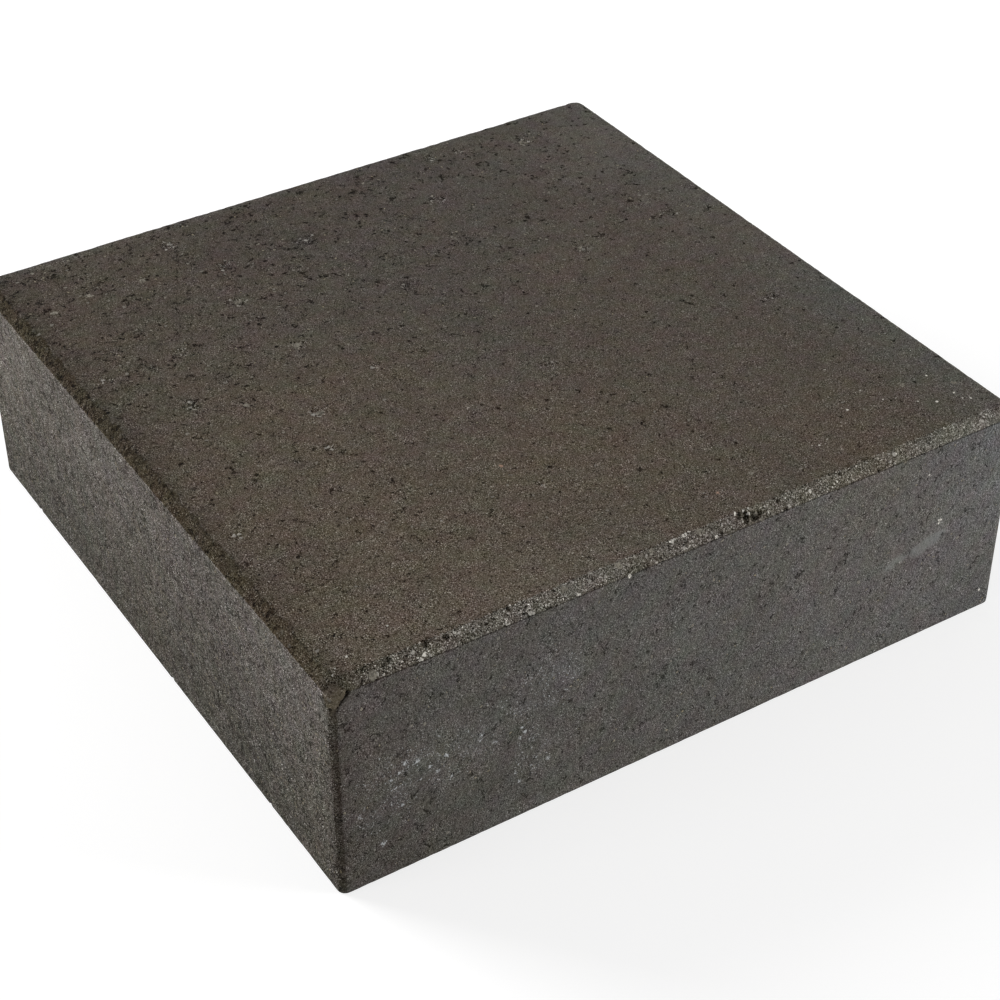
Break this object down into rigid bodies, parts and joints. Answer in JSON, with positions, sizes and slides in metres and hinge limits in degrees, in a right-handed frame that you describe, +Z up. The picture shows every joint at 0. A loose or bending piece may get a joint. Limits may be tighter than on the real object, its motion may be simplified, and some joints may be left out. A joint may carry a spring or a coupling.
{
  "type": "concrete step block",
  "caption": "Square solid block of dark grey dry-cast concrete for garden steps, with a flat bed face and a narrow chamfer round its tread.",
  "frame": {"origin": "middle of the bed face, on the ground", "axes": "+Z up through the tread, X and Y along the block's equal sides"},
  "size_m": [0.35, 0.35, 0.113],
  "materials": {
    "concrete": "rough dark grey-brown dry-cast concrete"
  },
  "bodies": {
    "root": {"step_block": "concrete"}
  },
  "joints": []
}
